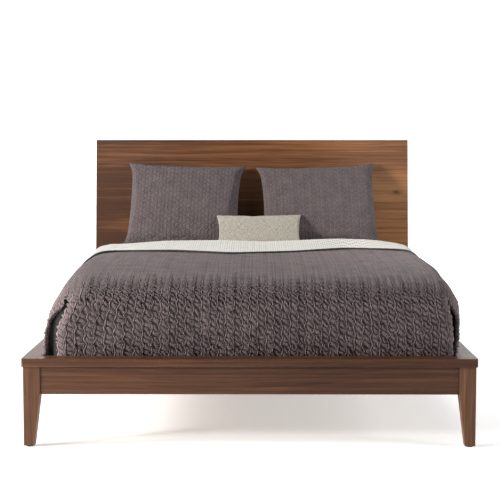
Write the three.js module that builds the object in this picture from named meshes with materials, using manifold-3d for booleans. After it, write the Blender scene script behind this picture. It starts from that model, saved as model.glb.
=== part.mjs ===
// Low walnut platform bed with a raked plank headboard, made up with a quilt,
// two shams and a lumbar pillow. Millimetres, +Z up, +X to the right as seen
// from the foot, +Y towards the head. The origin is on the floor under the
// centre of the whole bed. Inside `bed`, y = 0 is the foot's front face.
import * as THREE from "three";
import { RoundedBoxGeometry } from "three/addons/geometries/RoundedBoxGeometry.js";
import { mergeVertices } from "three/addons/utils/BufferGeometryUtils.js";
import Module from "manifold-3d";

const wasm = await Module();
wasm.setup();

// ---- driving dimensions -------------------------------------------------
const GAP = 0.3; // clearance between touching pieces
const EASE = 2; // eased edge radius on the joinery

const WIDTH = 1676; // over the ledges, and the headboard's width
const LEDGE_WIDTH = 68;
const LEDGE_THICK = 32;
const LEDGE_TOP = 330;
const LEDGE_CORNER = 7; // rounding of the two foot corners, in plan
const LEDGE_EASE = 1.4;
const PLATFORM = 2115; // foot face to headboard face, at the ledge's top

const HEAD_TOP = 1143;
const HEAD_THICK = 30;
const RAKE = THREE.MathUtils.degToRad(6.3); // headboard leans back

const LEG = 62; // leg section at the apron
const LEG_FOOT = 38.5; // leg section at the floor
const LEG_INSET = 6; // leg faces behind the ledge's edge
const LEG_ARC = 9; // small arc where the taper leaves the apron
const APRON_THICK = 28;
const APRON_INSET = 9; // apron faces behind the ledge's edge
const APRON_BOTTOM = 196;

const POST_TOP = 760; // rear posts stop behind the headboard here
const POST_DEPTH = 38; // post depth where it follows the headboard

const SLAT_COUNT = 13;
const SLAT_WIDTH = 90;
const SLAT_THICK = 18;
const SLAT_TOP = 262;
const CLEAT_WIDTH = 30;
const CLEAT_HEIGHT = 40;
const BEAM_WIDTH = 60;
const BEAM_HEIGHT = 45;
const CENTRE_LEG = 45;
const CENTRE_LEG_AT = [1064, 1672]; // from the foot face
const GLIDE_R = 15;
const GLIDE_THICK = 5;

const BOLT_R = 4;
const BOLT_HOLE_R = 4.5;
const BOLT_HEIGHTS = [226, 268];

const MATTRESS_WIDTH = 1504;
const MATTRESS_LENGTH = 2020;
const MATTRESS_TOP = 572;
const MATTRESS_FOOT = 84; // mattress foot end, from the foot face
const QUILT_THICK = 24; // on top; the drops are squeezed thinner
const QUILT_SIDE = 14;
const QUILT_BOTTOM = 306; // tucked hem, below the ledge's top
const QUILT_CREST = 1752; // where the quilt turns back, from the foot face
const TURN_BACK = 290; // depth of the turned-back band
const TURN_BACK_TOP = 638;
const QUILT_BULGE = 794; // the right side swells out over the ledge

const SHAM_WIDTH = 640;
const SHAM_HEIGHT = 506;
const SHAM_THICK = 146;
const SHAM_AT = { left: [-342, 2031, 796], right: [332, 2031, 794] };
const SHAM_LEAN = THREE.MathUtils.degToRad(31.5);
const LUMBAR_WIDTH = 436;
const LUMBAR_HEIGHT = 224;
const LUMBAR_THICK = 82;
const LUMBAR_AT = [38, 1834, 668];
const LUMBAR_LEAN = THREE.MathUtils.degToRad(41);

// ---- derived ------------------------------------------------------------
const HALF = WIDTH / 2;
const LEDGE_BOTTOM = LEDGE_TOP - LEDGE_THICK;
const LEG_TOP = LEDGE_BOTTOM - GAP;
const LEG_OUT = HALF - LEG_INSET;
const LEG_IN = LEG_OUT - LEG;
const APRON_OUT = HALF - APRON_INSET;
const APRON_IN = APRON_OUT - APRON_THICK;
const OPENING = HALF - LEDGE_WIDTH;
const RAKE_SLOPE = Math.tan(RAKE);
const SLAT_BOTTOM = SLAT_TOP - SLAT_THICK;
const headFront = (z) => PLATFORM + RAKE_SLOPE * (z - LEDGE_TOP);
const headBack = (z) => headFront(z) + HEAD_THICK / Math.cos(RAKE);
const LENGTH = headFront(HEAD_TOP) + HEAD_THICK * Math.cos(RAKE);

// ---- materials ----------------------------------------------------------
const wood = (color, roughness) => ({ color, roughness, metalness: 0 });
const WALNUT = wood(0x7b5539, 0.5);
const WALNUT_FRAME = wood(0x61453a, 0.45);
const SLAT_WOOD = wood(0xc9ab7f, 0.7);
const STEEL = { color: 0x8d8f92, roughness: 0.4, metalness: 0.9 };
const GLIDE = wood(0x201d1b, 0.6);
const SHEET = wood(0xe6e2db, 0.9);
const QUILT = wood(0x746b6b, 0.95);
const LINEN = wood(0xb9b2a4, 0.95);

// ---- helpers ------------------------------------------------------------
const group = new THREE.Group();
group.name = "bed_assembly";
const bed = new THREE.Group();
bed.name = "bed";
bed.position.y = -LENGTH / 2;
group.add(bed);

function addPart(name, geometry, look) {
  const mesh = new THREE.Mesh(geometry, new THREE.MeshStandardMaterial(look));
  mesh.name = name;
  bed.add(mesh);
  return mesh;
}

// Eased rectangular board from its low and high corners.
function board(low, high, ease = EASE) {
  const size = high.map((v, i) => v - low[i]);
  const geometry = new RoundedBoxGeometry(size[0], size[1], size[2], 1, ease);
  geometry.translate(low[0] + size[0] / 2, low[1] + size[1] / 2, low[2] + size[2] / 2);
  return geometry;
}

// Closed outline pushed along +Z from z0 to z1, with eased rims.
function slab(points, z0, z1, ease = EASE) {
  const shape = new THREE.Shape(points.map(([x, y]) => new THREE.Vector2(x, y)));
  const geometry = new THREE.ExtrudeGeometry(shape, {
    depth: z1 - z0 - 2 * ease,
    bevelEnabled: ease > 0,
    bevelThickness: ease,
    bevelSize: ease,
    bevelOffset: -ease,
    bevelSegments: 2,
  });
  geometry.translate(0, 0, z0 + ease);
  return geometry;
}

// The same outline drawn as [y, z] and pushed along +X from x0 to x1.
function sideSlab(points, x0, x1, ease = EASE) {
  const geometry = slab(points, x0, x1, ease);
  // (y, z, x) -> (x, y, z)
  geometry.applyMatrix4(new THREE.Matrix4().set(0, 0, 1, 0, 1, 0, 0, 0, 0, 1, 0, 0, 0, 0, 0, 1));
  return geometry;
}

// The same outline drawn as [x, z] and pushed along +Y from y0 to y1.
function frontSlab(points, y0, y1, ease = EASE) {
  const geometry = slab(points, -y1, -y0, ease);
  geometry.rotateX(Math.PI / 2);
  return geometry;
}

function toSolid(geometry) {
  const bare = geometry.clone();
  bare.deleteAttribute("normal");
  bare.deleteAttribute("uv");
  const merged = mergeVertices(bare, 1e-3);
  const mesh = new wasm.Mesh({
    numProp: 3,
    vertProperties: new Float32Array(merged.attributes.position.array),
    triVerts: new Uint32Array(merged.index.array),
  });
  mesh.merge();
  return new wasm.Manifold(mesh);
}

function fromSolid(solid) {
  const mesh = solid.getMesh();
  const geometry = new THREE.BufferGeometry();
  geometry.setAttribute("position", new THREE.BufferAttribute(mesh.vertProperties, 3));
  geometry.setIndex(new THREE.BufferAttribute(mesh.triVerts, 1));
  geometry.computeVertexNormals();
  return geometry;
}

const intersect = (a, b) => fromSolid(toSolid(a).intersect(toSolid(b)));
const subtract = (a, ...cuts) =>
  fromSolid(cuts.reduce((solid, cut) => solid.subtract(toSolid(cut)), toSolid(a)));
const unite = (a, b) => fromSolid(toSolid(a).add(toSolid(b)));

// Rod along +Y.
function rod(radius, x, z, y0, y1, sides = 20) {
  const geometry = new THREE.CylinderGeometry(radius, radius, y1 - y0, sides);
  geometry.translate(x, (y0 + y1) / 2, z);
  return geometry;
}

// Soft pad filled from a thin seam all round: flat in local X and Z, thick in Y.
function cushion(width, height, thick, seam = 10) {
  const geometry = new THREE.BoxGeometry(width, seam, height, 16, 1, 12);
  const at = geometry.attributes.position;
  for (let i = 0; i < at.count; i += 1) {
    const u = Math.min(1, Math.abs((2 * at.getX(i)) / width));
    const v = Math.min(1, Math.abs((2 * at.getZ(i)) / height));
    const fill = Math.pow((1 - Math.pow(u, 3.2)) * (1 - Math.pow(v, 2.6)), 0.55);
    const side = Math.sign(at.getY(i));
    at.setY(i, side * (seam / 2 + fill * (thick - seam) / 2));
    // sides draw in between the corners
    at.setX(i, at.getX(i) * (1 - 0.03 * u * (1 - v * v)));
    at.setZ(i, at.getZ(i) * (1 - 0.03 * v * (1 - u * u)));
  }
  geometry.computeVertexNormals();
  return geometry;
}

// ---- headboard ----------------------------------------------------------
const headSlope = (HEAD_TOP - APRON_BOTTOM) / Math.cos(RAKE);
const panel = board([-HALF, 0, 0], [HALF, HEAD_THICK, headSlope]);
panel.rotateX(-RAKE);
panel.translate(0, headFront(APRON_BOTTOM), APRON_BOTTOM);

// Small arc and straight taper on a leg's inner side, as distances from its
// outer face, from the apron's bottom down to the glide.
function taperPoints(top, foot, z0) {
  const points = [];
  const steps = 4;
  const slope = (top - LEG_ARC * 0.35 - foot) / (APRON_BOTTOM - LEG_ARC - z0);
  for (let i = 0; i <= steps; i += 1) {
    const turn = (i / steps) * (Math.PI / 2);
    const inward = top - LEG_ARC * 0.35 * Math.sin(turn);
    points.push([inward, APRON_BOTTOM - LEG_ARC * (1 - Math.cos(turn))]);
  }
  const last = points[points.length - 1];
  points.push([last[0] - slope * (last[1] - z0), z0]);
  return points;
}

// ---- rear posts: leg below, raked upright above, in one piece -----------
const boltX = (side) => side * (APRON_IN + APRON_THICK / 2);
const boltHole = (side, z, y0, y1) => rod(BOLT_HOLE_R, boltX(side), z, y0, y1);
const postFace = headBack(APRON_BOTTOM) + GAP;
const postRear = postFace + LEG;
const rakedRear = (z) => headBack(z) + GAP + POST_DEPTH;
const kneeHeight = LEDGE_TOP + (postRear - rakedRear(LEDGE_TOP)) / RAKE_SLOPE;
const postTopDrop = POST_DEPTH * Math.sin(RAKE);
const postSide = [
  [postRear, GLIDE_THICK],
  [postRear, kneeHeight],
  [rakedRear(POST_TOP - postTopDrop), POST_TOP - postTopDrop],
  [headBack(POST_TOP) + GAP, POST_TOP],
  ...taperPoints(LEG, LEG_FOOT, GLIDE_THICK).map(([d, z]) => [postRear - d, z]),
];

const mirrorX = (points, side) => {
  const out = points.map(([x, z]) => [side * x, z]);
  return side > 0 ? out : out.reverse();
};

const SIDES = [["left", -1], ["right", 1]];

const panelHoles = [];
for (const [, side] of SIDES) {
  for (const z of BOLT_HEIGHTS) {
    panelHoles.push(boltHole(side, z, headFront(z) - 20, headBack(z) + 20));
  }
}
addPart("headboard_panel", subtract(panel, ...panelHoles), WALNUT);

for (const [name, side] of SIDES) {
  const front = mirrorX(
    [
      [LEG_OUT, GLIDE_THICK],
      [LEG_OUT, POST_TOP + 20],
      [LEG_IN, POST_TOP + 20],
      ...taperPoints(LEG, LEG_FOOT, GLIDE_THICK).map(([d, z]) => [LEG_OUT - d, z]),
    ],
    side,
  );
  const post = intersect(
    sideSlab(postSide, -LEG_OUT - 5, LEG_OUT + 5),
    frontSlab(front, postFace - 5, rakedRear(POST_TOP) + 60),
  );
  const holes = BOLT_HEIGHTS.map((z) => boltHole(side, z, postFace - 20, postRear + 20));
  addPart(`rear_post_${name}`, subtract(post, ...holes), WALNUT_FRAME);
}

// ---- front legs ---------------------------------------------------------
for (const [name, side] of SIDES) {
  const front = mirrorX(
    [
      [LEG_OUT, GLIDE_THICK],
      [LEG_OUT, LEG_TOP],
      [LEG_IN, LEG_TOP],
      ...taperPoints(LEG, LEG_FOOT, GLIDE_THICK).map(([d, z]) => [LEG_OUT - d, z]),
    ],
    side,
  );
  const profile = [
    [LEG_INSET, LEG_TOP],
    [LEG_INSET, GLIDE_THICK],
    ...taperPoints(LEG, LEG_FOOT, GLIDE_THICK).map(([d, z]) => [LEG_INSET + d, z]).reverse(),
    [LEG_INSET + LEG, LEG_TOP],
  ];
  const leg = intersect(
    sideSlab(profile, -LEG_OUT - 5, LEG_OUT + 5),
    frontSlab(front, LEG_INSET - 5, LEG_INSET + LEG + 5),
  );
  addPart(`front_leg_${name}`, leg, WALNUT_FRAME);
}

// ---- aprons -------------------------------------------------------------
addPart(
  "foot_apron",
  board(
    [-LEG_IN + GAP, APRON_INSET, APRON_BOTTOM],
    [LEG_IN - GAP, APRON_INSET + APRON_THICK, LEG_TOP],
  ),
  WALNUT_FRAME,
);

const railFoot = LEG_INSET + LEG + GAP;
for (const [name, side] of SIDES) {
  const profile = [
    [railFoot, APRON_BOTTOM],
    [headFront(APRON_BOTTOM) - GAP, APRON_BOTTOM],
    [headFront(LEG_TOP) - GAP, LEG_TOP],
    [railFoot, LEG_TOP],
  ];
  const x0 = side > 0 ? APRON_IN : -APRON_OUT;
  const rail = sideSlab(profile, x0, x0 + APRON_THICK);
  const holes = BOLT_HEIGHTS.map((z) => boltHole(side, z, headFront(z) - 60, headFront(z) + 20));
  addPart(`side_apron_${name}`, subtract(rail, ...holes), WALNUT_FRAME);
}

// ---- ledges, mitred at the foot -----------------------------------------
const mitre = GAP / Math.SQRT2;
const arc = (from, to) => {
  const points = [];
  for (let i = 0; i <= 2; i += 1) {
    const turn = from + ((to - from) * i) / 2;
    points.push([
      HALF - LEDGE_CORNER + LEDGE_CORNER * Math.cos(turn),
      LEDGE_CORNER + LEDGE_CORNER * Math.sin(turn),
    ]);
  }
  return points;
};
const footArc = arc(-Math.PI / 2, -Math.PI / 4);
const sideArc = arc(-Math.PI / 4, 0);
addPart(
  "ledge_foot",
  slab(
    [
      ...footArc.map(([x, y]) => [x - mitre, y]),
      [OPENING - mitre, LEDGE_WIDTH],
      [-OPENING + mitre, LEDGE_WIDTH],
      ...footArc.map(([x, y]) => [-x + mitre, y]).reverse(),
    ],
    LEDGE_BOTTOM,
    LEDGE_TOP,
    LEDGE_EASE,
  ),
  WALNUT_FRAME,
);
const ledgeEnd = headFront(LEDGE_BOTTOM) - GAP;
for (const [name, side] of SIDES) {
  const outline = [
    ...sideArc.map(([x, y]) => [x, y + mitre]),
    [HALF, ledgeEnd],
    [OPENING, ledgeEnd],
    [OPENING, LEDGE_WIDTH + mitre],
  ];
  const ledge = slab(mirrorX(outline, side), LEDGE_BOTTOM, LEDGE_TOP, LEDGE_EASE);
  addPart(`ledge_${name}`, ledge, WALNUT_FRAME);
}

// ---- mattress support ---------------------------------------------------
const headRailFront = headFront(APRON_BOTTOM) - GAP - APRON_THICK;
addPart(
  "head_rail",
  board(
    [-APRON_IN + GAP, headRailFront, APRON_BOTTOM],
    [APRON_IN - GAP, headRailFront + APRON_THICK, SLAT_TOP - 6],
  ),
  SLAT_WOOD,
);

const beamTop = SLAT_BOTTOM - GAP;
addPart(
  "centre_beam",
  board(
    [-BEAM_WIDTH / 2, APRON_INSET + APRON_THICK + GAP, beamTop - BEAM_HEIGHT],
    [BEAM_WIDTH / 2, headRailFront - GAP, beamTop],
  ),
  SLAT_WOOD,
);

const blockReach = 34;
for (const [name, side] of SIDES) {
  const y0 = APRON_INSET + APRON_THICK + GAP;
  const outline = [
    [LEG_IN - GAP, y0],
    [LEG_IN - GAP, railFoot],
    [APRON_IN - GAP, railFoot],
    [APRON_IN - GAP, railFoot + blockReach],
    [LEG_IN - GAP - blockReach, y0],
  ];
  const solid = slab(mirrorX(outline, side), APRON_BOTTOM + 6, beamTop, 0.5);
  addPart(`corner_block_${name}`, solid, SLAT_WOOD);

  const xs = [APRON_IN - GAP, APRON_IN - GAP - CLEAT_WIDTH].map((x) => side * x);
  xs.sort((a, b) => a - b);
  addPart(
    `slat_cleat_${name}`,
    board(
      [xs[0], railFoot + blockReach + GAP, beamTop - CLEAT_HEIGHT],
      [xs[1], headRailFront - 62, beamTop],
    ),
    SLAT_WOOD,
  );

  // steel angle between the side apron and the head rail
  const a = 56;
  const t = 3;
  const x = side * (APRON_IN - GAP);
  const y = headRailFront - GAP;
  const angle = [
    [x, y],
    [x, y - a],
    [x - side * t, y - a],
    [x - side * t, y - t],
    [x - side * a, y - t],
    [x - side * a, y],
  ];
  addPart(
    `head_bracket_${name}`,
    slab(side > 0 ? angle.reverse() : angle, APRON_BOTTOM + 6, beamTop, 0.4),
    STEEL,
  );
}

const slatFirst = railFoot + 4;
const slatLast = headRailFront - GAP - SLAT_WIDTH - 4;
for (let i = 0; i < SLAT_COUNT; i += 1) {
  const y = slatFirst + ((slatLast - slatFirst) * i) / (SLAT_COUNT - 1);
  addPart(
    `slat_${String(i + 1).padStart(2, "0")}`,
    board(
      [-APRON_IN + GAP, y, SLAT_BOTTOM],
      [APRON_IN - GAP, y + SLAT_WIDTH, SLAT_TOP],
      3,
    ),
    SLAT_WOOD,
  );
}

// ---- centre legs and glides ---------------------------------------------
function glide(name, x, y) {
  const top = GLIDE_THICK - GAP;
  const profile = [[0, 0], [GLIDE_R - 2, 0], [GLIDE_R, 2], [GLIDE_R, top], [0, top]];
  const points = profile.map(([r, z]) => new THREE.Vector2(r, z));
  const geometry = new THREE.LatheGeometry(points, 24);
  geometry.rotateX(Math.PI / 2);
  geometry.translate(x, y, 0);
  addPart(name, geometry, GLIDE);
}

CENTRE_LEG_AT.forEach((y, i) => {
  const place = i === 0 ? "middle" : "head";
  const half = CENTRE_LEG / 2;
  addPart(
    `centre_leg_${place}`,
    board([-half, y - half, GLIDE_THICK], [half, y + half, beamTop - BEAM_HEIGHT - GAP]),
    SLAT_WOOD,
  );
  glide(`glide_centre_${place}`, 0, y);
});
for (const [name, side] of SIDES) {
  glide(`glide_front_${name}`, side * (LEG_OUT - LEG_FOOT / 2), LEG_INSET + LEG_FOOT / 2);
  glide(`glide_rear_${name}`, side * (LEG_OUT - LEG_FOOT / 2), postRear - LEG_FOOT / 2);
}

// ---- bolts holding the headboard to the side aprons ---------------------
for (const [name, side] of SIDES) {
  BOLT_HEIGHTS.forEach((z, i) => {
    const x = boltX(side);
    const shank = rod(BOLT_R, x, z, headFront(z) - 50, postRear + 2);
    const head = rod(9, x, z, postRear + GAP, postRear + GAP + 6, 6);
    addPart(`bed_bolt_${name}_${i === 0 ? "lower" : "upper"}`, unite(shank, head), STEEL);
  });
}

// ---- mattress and bedding -----------------------------------------------
const mattressHead = MATTRESS_FOOT + MATTRESS_LENGTH;
const mattress = new RoundedBoxGeometry(
  MATTRESS_WIDTH,
  MATTRESS_LENGTH,
  MATTRESS_TOP - SLAT_TOP - GAP,
  3,
  44,
);
mattress.translate(0, (MATTRESS_FOOT + mattressHead) / 2, (MATTRESS_TOP + SLAT_TOP + GAP) / 2);
addPart("mattress", mattress, SHEET);

// The quilt is one skin over the mattress's top, sides and foot, thicker
// where its head end is turned back and swollen over the right-hand ledge.
const quiltHalf = OPENING - 2;
const quiltFoot = LEDGE_WIDTH + 2;

function padBlock(low, high, radius) {
  const size = high.map((v, i) => v - low[i]);
  const geometry = new RoundedBoxGeometry(size[0], size[1], size[2], 4, radius);
  geometry.translate(low[0] + size[0] / 2, low[1] + size[1] / 2, low[2] + size[2] / 2);
  return geometry;
}

const quiltTop = MATTRESS_TOP + GAP + QUILT_THICK;
const belowHem = QUILT_BOTTOM - 120;
const bandHalf = quiltHalf - 1;
const bandFoot = QUILT_CREST - TURN_BACK;
const cover = [
  padBlock([-quiltHalf, quiltFoot, belowHem], [quiltHalf, QUILT_CREST - 14, quiltTop], 60),
  padBlock([-bandHalf, bandFoot, belowHem], [bandHalf, QUILT_CREST, TURN_BACK_TOP], 40),
  padBlock([0, quiltFoot + 60, LEDGE_TOP + 12], [QUILT_BULGE, QUILT_CREST - 20, quiltTop - 12], 60),
].reduce(unite);
const mattressHollow = padBlock(
  [-quiltHalf + QUILT_SIDE, MATTRESS_FOOT - 2, belowHem - 100],
  [quiltHalf - QUILT_SIDE, mattressHead + 2, MATTRESS_TOP + GAP],
  45,
);
const underHem = board([-900, -50, -10], [900, 2400, QUILT_BOTTOM], 0.01);
addPart("quilt", subtract(cover, mattressHollow, underHem), QUILT);

for (const [name] of SIDES) {
  const sham = addPart(`sham_${name}`, cushion(SHAM_WIDTH, SHAM_HEIGHT, SHAM_THICK), QUILT);
  sham.rotation.x = -SHAM_LEAN;
  sham.position.set(...SHAM_AT[name]);
}
const lumbarPad = cushion(LUMBAR_WIDTH, LUMBAR_HEIGHT, LUMBAR_THICK);
const lumbar = addPart("lumbar_pillow", lumbarPad, LINEN);
lumbar.rotation.x = -LUMBAR_LEAN;
lumbar.position.set(...LUMBAR_AT);

export default group;
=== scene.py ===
"""Visual model of the walnut platform bed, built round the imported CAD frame."""
import math

import bpy
import numpy as np
from mathutils import Matrix, Vector


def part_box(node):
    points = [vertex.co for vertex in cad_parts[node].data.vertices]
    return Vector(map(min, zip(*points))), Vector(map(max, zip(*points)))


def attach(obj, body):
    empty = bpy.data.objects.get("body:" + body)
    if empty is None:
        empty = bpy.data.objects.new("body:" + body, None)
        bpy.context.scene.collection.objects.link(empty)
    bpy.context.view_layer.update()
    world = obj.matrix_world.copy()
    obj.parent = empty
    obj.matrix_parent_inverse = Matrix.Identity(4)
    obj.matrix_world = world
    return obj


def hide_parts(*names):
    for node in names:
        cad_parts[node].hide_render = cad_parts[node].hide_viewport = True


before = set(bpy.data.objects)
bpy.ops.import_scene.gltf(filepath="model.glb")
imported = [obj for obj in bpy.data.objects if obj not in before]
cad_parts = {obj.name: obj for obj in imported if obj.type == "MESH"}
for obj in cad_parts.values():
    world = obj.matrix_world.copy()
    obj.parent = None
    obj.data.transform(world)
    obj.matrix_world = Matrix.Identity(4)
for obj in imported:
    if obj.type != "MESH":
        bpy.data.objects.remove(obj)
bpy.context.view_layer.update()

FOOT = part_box("ledge_foot")[0][1]       # the foot's front face
LEDGE_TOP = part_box("ledge_foot")[1][2]
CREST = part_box("quilt")[1][1] - FOOT     # where the quilt turns back, from the foot
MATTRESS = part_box("mattress")

scene = bpy.context.scene


# ------------------------------------------------------------------ noise
def noise2(x, y, cell, seed, n=64):
    """Smooth value noise, -1..1, of two arrays in metres."""
    table = np.random.RandomState(seed).rand(n, n)
    u, v = x / cell, y / cell
    i, j = np.floor(u).astype(int), np.floor(v).astype(int)
    fu, fv = u - i, v - j
    fu, fv = fu * fu * (3 - 2 * fu), fv * fv * (3 - 2 * fv)
    i0, i1, j0, j1 = i % n, (i + 1) % n, j % n, (j + 1) % n
    low = table[i0, j0] * (1 - fu) + table[i1, j0] * fu
    high = table[i0, j1] * (1 - fu) + table[i1, j1] * fu
    return 2 * (low * (1 - fv) + high * fv) - 1


def smooth(lo, hi, x):
    t = np.clip((x - lo) / (hi - lo), 0, 1)
    return t * t * (3 - 2 * t)


def evened(values, times):
    """Rounds the kinks off a line of numbers; its two ends stay."""
    values = values.copy()
    for _ in range(times):
        values[1:-1] = 0.25 * values[:-2] + 0.5 * values[1:-1] + 0.25 * values[2:]
    return values


# ------------------------------------------------------ quilting pattern
RIB = 0.0299      # spacing of the upright corded ridges
LEAF = 0.0223     # height of one leaf-shaped puff in the chain between two ridges
SLANT = 1.0       # how far a leaf drops across its column, in leaves
SWING = 0.0027    # how far a ridge waves to either side, once in two leaves
CORD = 0.0022     # half width of a ridge
GUTTER = 0.0030   # from a ridge's middle to where the puffs start
CREASE = 0.0062   # from a stitched crease up to the top of a puff
PUFF = 0.66       # height of a puff, where a ridge is 1
DOME = 1.2        # how much a puff falls away towards the ridges
UNLIKE = 0.14     # how much the leaves of a chain differ in height
SHORTER = 0.8     # creases slant, so they are nearer than they are straight up
STRENGTH, SWELL, VARY = 0.74, 0.22, 0.24   # a ridge's height, along it and from one to the next
CASE_FINER = 1.5  # the pillow cases are quilted this much finer
# gentle waves that wander the stitching: size in metres, per metre across and along, turn
WAVES_ACROSS = ((0.0014, 61.0, 83.0, 0.0), (0.0010, -47.0, 137.0, 1.7), (0.0009, 171.0, 226.0, 0.9))
WAVES_ALONG = ((0.0026, 37.0, -29.0, 0.6), (0.0016, 139.0, 71.0, 2.1), (0.0014, 257.0, 118.0, 1.1))


def relief(m, a, b, ridges=1.0, blunt=1.0, chevron=0.0):
    """Height of the quilting, 0..1, and of its ridges alone, at flat cloth coordinates in
    metres. `m` does the sums: NumPy for a mesh, a Shader for a material."""
    ease = smooth if m is np else m.smooth

    def wander(waves):
        return sum(m.sin(a * across + b * along + turn) * size for size, across, along, turn in waves)

    p, q = a + wander(WAVES_ACROSS), b + wander(WAVES_ALONG)
    beat = q * math.pi / LEAF
    p = p + m.sin(beat) * SWING * m.cos(p * math.pi / RIB)
    column = m.floor(p / RIB)
    u = p / RIB - column - 0.5
    odd = m.mod(column, 2.0)
    v = q / LEAF - SLANT * u * (1 - 2 * chevron * odd) + 0.5 * odd
    v = v + UNLIKE * m.sin(math.pi * v)
    to_crease = m.abs(v - m.rint(v)) * LEAF * SHORTER
    to_ridge = (0.5 - m.abs(u)) * RIB
    puff = ease(0.0, CREASE, m.minimum(to_crease, to_ridge - GUTTER)) * (1 - DOME * u * u) * PUFF
    line = m.rint(p / RIB)
    strength = STRENGTH + SWELL * m.sin(beat + line * math.pi) + VARY * m.sin(2.4 * line)
    edge = to_ridge / (CORD * blunt)
    ridge = ridges * strength * m.exp(edge * edge * -1.0)
    return m.maximum(puff, ridge), ridge


# ------------------------------------------------------------- mesh tools
def corners_of(mesh):
    """The vertex under each corner of each face."""
    corners = np.empty(len(mesh.loops), dtype=np.int32)
    mesh.loops.foreach_get("vertex_index", corners)
    return corners


def lay_flat(mesh, flat):
    """Stores each vertex's place on the flat cloth, in metres."""
    layer = mesh.uv_layers.new(name="flat")
    layer.data.foreach_set("uv", np.asarray(flat, dtype=np.float32)[corners_of(mesh)].ravel())


def new_object(name, verts, faces, body, materials=(), uv=None):
    mesh = bpy.data.meshes.new(name)
    mesh.from_pydata([tuple(v) for v in verts], [], [tuple(int(i) for i in f) for f in faces])
    if uv is not None:
        lay_flat(mesh, uv)
    mesh.shade_smooth()
    for m in materials:
        mesh.materials.append(m)
    obj = bpy.data.objects.new(name, mesh)
    scene.collection.objects.link(obj)
    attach(obj, body)
    return obj


def grid_faces(rows, cols, keep):
    i, j = np.meshgrid(np.arange(rows - 1), np.arange(cols - 1), indexing="ij")
    a = (i * cols + j).ravel()
    return np.stack([a, a + 1, a + cols + 1, a + cols], 1)[keep.ravel()]


def grid_normals(p):
    n = np.cross(np.gradient(p, axis=1), np.gradient(p, axis=0))
    return n / np.maximum(np.linalg.norm(n, axis=2, keepdims=True), 1e-12)


def tube(name, path, radius, body, materials, sides=8, closed=False):
    """Round cord swept along a list of points."""
    path = np.asarray(path, float)
    n = len(path)
    if closed:
        tangent = np.roll(path, -1, 0) - np.roll(path, 1, 0)
    else:
        tangent = np.gradient(path, axis=0)
    tangent /= np.maximum(np.linalg.norm(tangent, axis=1, keepdims=True), 1e-9)
    normal = np.zeros_like(path)
    ref = np.array([0.0, 0.0, 1.0]) if abs(tangent[0, 2]) < 0.9 else np.array([1.0, 0, 0])
    for k in range(n):
        ref = ref - tangent[k] * ref.dot(tangent[k])
        ref /= np.linalg.norm(ref)
        normal[k] = ref
    side = np.cross(tangent, normal)
    turn = (np.arange(sides) * 2 * math.pi / sides)[None, :, None]
    round_it = np.cos(turn) * normal[:, None, :] + np.sin(turn) * side[:, None, :]
    verts = (path[:, None, :] + radius * round_it).reshape(-1, 3)
    faces = []
    for i in range(n if closed else n - 1):
        i2 = (i + 1) % n
        for j in range(sides):
            j2 = (j + 1) % sides
            faces.append((i * sides + j, i * sides + j2, i2 * sides + j2, i2 * sides + j))
    if not closed:
        faces.append(tuple(reversed(range(sides))))
        faces.append(tuple((n - 1) * sides + j for j in range(sides)))
    return new_object(name, verts, faces, body, materials)


# -------------------------------------------------------------- materials
def node(tree, kind, **values):
    made = tree.nodes.new(kind)
    for key, value in values.items():
        setattr(made, key, value)
    return made


class Value:
    """One output of a node, which sums and products can be made of."""

    def __init__(self, shader, socket):
        self.shader, self.socket = shader, socket

    def __add__(self, other):
        return self.shader.math("ADD", self, other)

    def __sub__(self, other):
        return self.shader.math("SUBTRACT", self, other)

    def __rsub__(self, other):
        return self.shader.math("SUBTRACT", other, self)

    def __mul__(self, other):
        return self.shader.math("MULTIPLY", self, other)

    def __truediv__(self, other):
        return self.shader.math("DIVIDE", self, other)

    def __rtruediv__(self, other):
        return self.shader.math("DIVIDE", other, self)

    __radd__, __rmul__ = __add__, __mul__


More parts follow.
